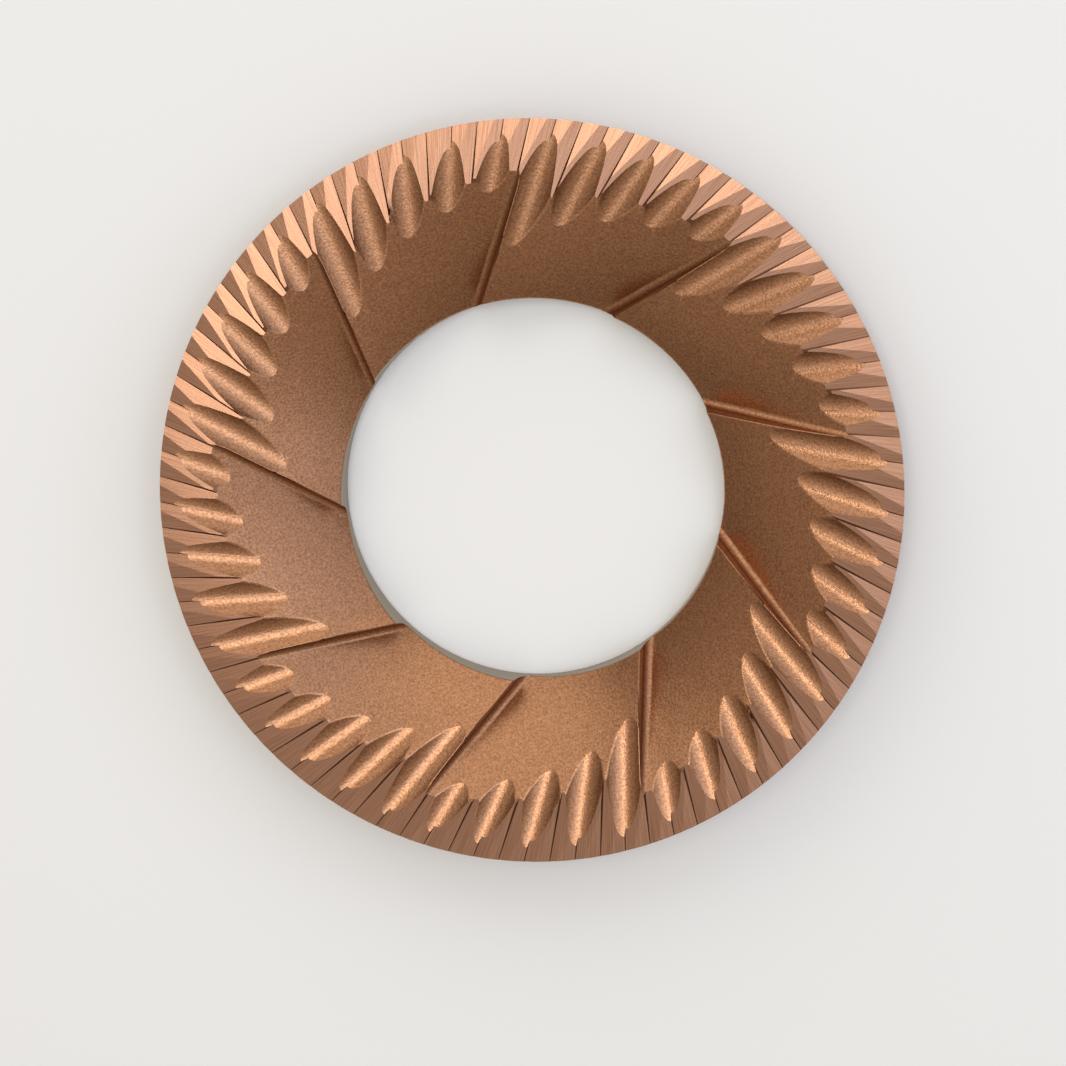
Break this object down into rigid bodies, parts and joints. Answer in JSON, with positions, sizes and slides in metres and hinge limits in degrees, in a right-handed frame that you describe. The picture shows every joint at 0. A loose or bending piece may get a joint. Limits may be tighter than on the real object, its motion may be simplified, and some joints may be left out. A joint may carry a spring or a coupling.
{
  "type": "coffee grinder burr",
  "caption": "Flat ring burr for a coffee grinder: raked grinding teeth at the rim, scooped flutes, and breaker blades with ramps that fall to a wide centre bore.",
  "frame": {"origin": "centre of the flat back face, on the bore's axis", "axes": "+Z out of the back towards the teeth, +X to the right and +Y to the top of the picture's upright burr"},
  "size_m": [0.098, 0.098, 0.0115],
  "materials": {
    "burr_steel": "hard coat of a copper colour, blasted in the pockets and ground on the teeth"
  },
  "bodies": {
    "root": {"burr": "burr_steel"}
  },
  "joints": []
}
